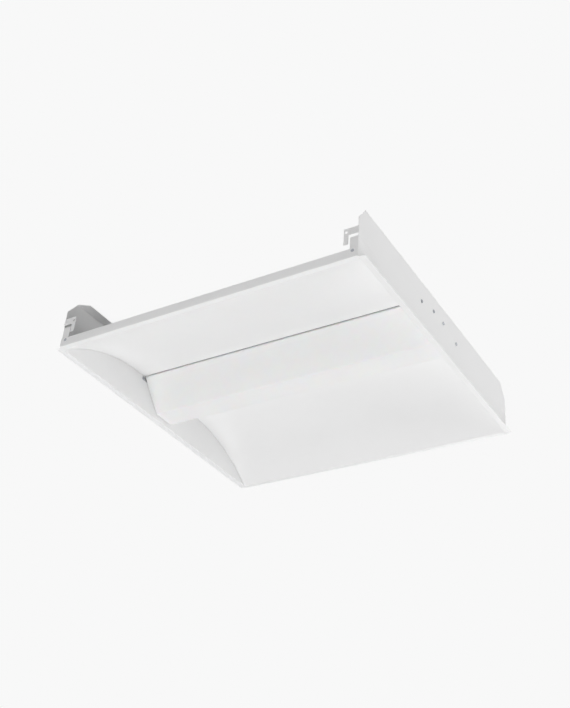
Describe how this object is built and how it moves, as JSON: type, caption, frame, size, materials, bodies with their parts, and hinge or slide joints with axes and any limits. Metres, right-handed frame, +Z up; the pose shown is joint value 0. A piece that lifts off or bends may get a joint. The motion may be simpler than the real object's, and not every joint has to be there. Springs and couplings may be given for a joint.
{
  "type": "recessed troffer light",
  "caption": "Square lay-in ceiling light: folded steel end plates, two curved reflector wings and a frosted centre basket that swings down, with bend-out grid clips.",
  "frame": {"origin": "centre of the opening, at the underside of the ceiling flanges", "axes": "+Z up into the ceiling, X along the basket from end plate to end plate, -Y towards the side seen nearest in the picture"},
  "size_m": [0.603, 0.603, 0.1044],
  "materials": {
    "white_painted_steel": "satin white powder coat",
    "zinc_plated_screw": "bright zinc",
    "galvanised_steel": "galvanised",
    "white_circuit_board": "white solder mask",
    "phosphor_led": "yellow phosphor",
    "white_nylon": "moulded",
    "driver_enamel": "light enamel",
    "potting_compound": "cast",
    "grey_nylon": "moulded",
    "black_nylon": "moulded",
    "red_wire": "smooth",
    "black_wire": "smooth",
    "white_wire": "smooth",
    "green_wire": "smooth",
    "amber_nylon": "moulded",
    "tinned_copper": "tinned",
    "green_screw": "green zinc",
    "frosted_acrylic": "extruded, frosted",
    "white_moulded_plastic": "moulded",
    "spring_steel": "tempered"
  },
  "bodies": {
    "housing": {"end_plate_left": "white_painted_steel", "end_plate_right": "white_painted_steel", "reflector_wing_near": "white_painted_steel", "reflector_wing_far": "white_painted_steel", "corner_screws": "zinc_plated_screw", "end_plate_screws": "zinc_plated_screw", "wing_screws": "zinc_plated_screw", "centre_channel": "galvanised_steel", "cover_hinge_pin": "zinc_plated_screw", "led_tray": "white_painted_steel", "led_board_near": "white_circuit_board", "led_board_far": "white_circuit_board", "led_packages_near": "phosphor_led", "led_packages_far": "phosphor_led", "board_connectors": "white_nylon", "board_screws": "zinc_plated_screw", "driver_base": "galvanised_steel", "driver_case": "driver_enamel", "driver_potting": "potting_compound", "driver_output_terminal": "grey_nylon", "driver_input_terminal": "grey_nylon", "driver_screws": "zinc_plated_screw", "tray_bushing": "black_nylon", "output_leads_red": "red_wire", "output_leads_black": "black_wire", "disconnect_plug": "amber_nylon", "disconnect_socket": "amber_nylon", "supply_lead_black": "black_wire", "supply_lead_white": "white_wire", "earth_lead_green": "green_wire", "earth_terminal": "tinned_copper", "earth_screw": "green_screw", "basket_pivot_pin_left": "zinc_plated_screw", "basket_pivot_pin_right": "zinc_plated_screw", "catch_spring_left": "spring_steel", "catch_spring_right": "spring_steel"},
    "basket": {"basket_diffuser": "frosted_acrylic", "basket_end_cap_left": "white_moulded_plastic", "basket_end_cap_right": "white_moulded_plastic", "basket_rail_near": "galvanised_steel", "basket_rail_far": "galvanised_steel"},
    "wiring_cover": {"wiring_cover": "galvanised_steel", "cover_screw": "zinc_plated_screw"},
    "clip_near_left": {"grid_clip_near_left": "white_painted_steel"},
    "clip_near_right": {"grid_clip_near_right": "white_painted_steel"},
    "clip_far_left": {"grid_clip_far_left": "white_painted_steel"},
    "clip_far_right": {"grid_clip_far_right": "white_painted_steel"}
  },
  "joints": [
    {"name": "basket_swing", "type": "hinge", "parent": "housing", "child": "basket", "pos_m": [0, 0.067, 0.0624], "axis": [1, 0, 0], "range_deg": [0, 90]},
    {"name": "wiring_cover_lift", "type": "hinge", "parent": "housing", "child": "wiring_cover", "pos_m": [0.185, 0.056, 0.0989], "axis": [-1, 0, 0], "range_deg": [0, 110]},
    {"name": "grid_clip_near_left_bend", "type": "hinge", "parent": "housing", "child": "clip_near_left", "pos_m": [-0.2908, -0.3011, 0.0514], "axis": [0, 0, -1], "range_deg": [0, 90]},
    {"name": "grid_clip_near_right_bend", "type": "hinge", "parent": "housing", "child": "clip_near_right", "pos_m": [0.2908, -0.3011, 0.0514], "axis": [0, 0, 1], "range_deg": [0, 90]},
    {"name": "grid_clip_far_left_bend", "type": "hinge", "parent": "housing", "child": "clip_far_left", "pos_m": [-0.2908, 0.3011, 0.0514], "axis": [0, 0, 1], "range_deg": [0, 90]},
    {"name": "grid_clip_far_right_bend", "type": "hinge", "parent": "housing", "child": "clip_far_right", "pos_m": [0.2908, 0.3011, 0.0514], "axis": [0, 0, -1], "range_deg": [0, 90]}
  ]
}
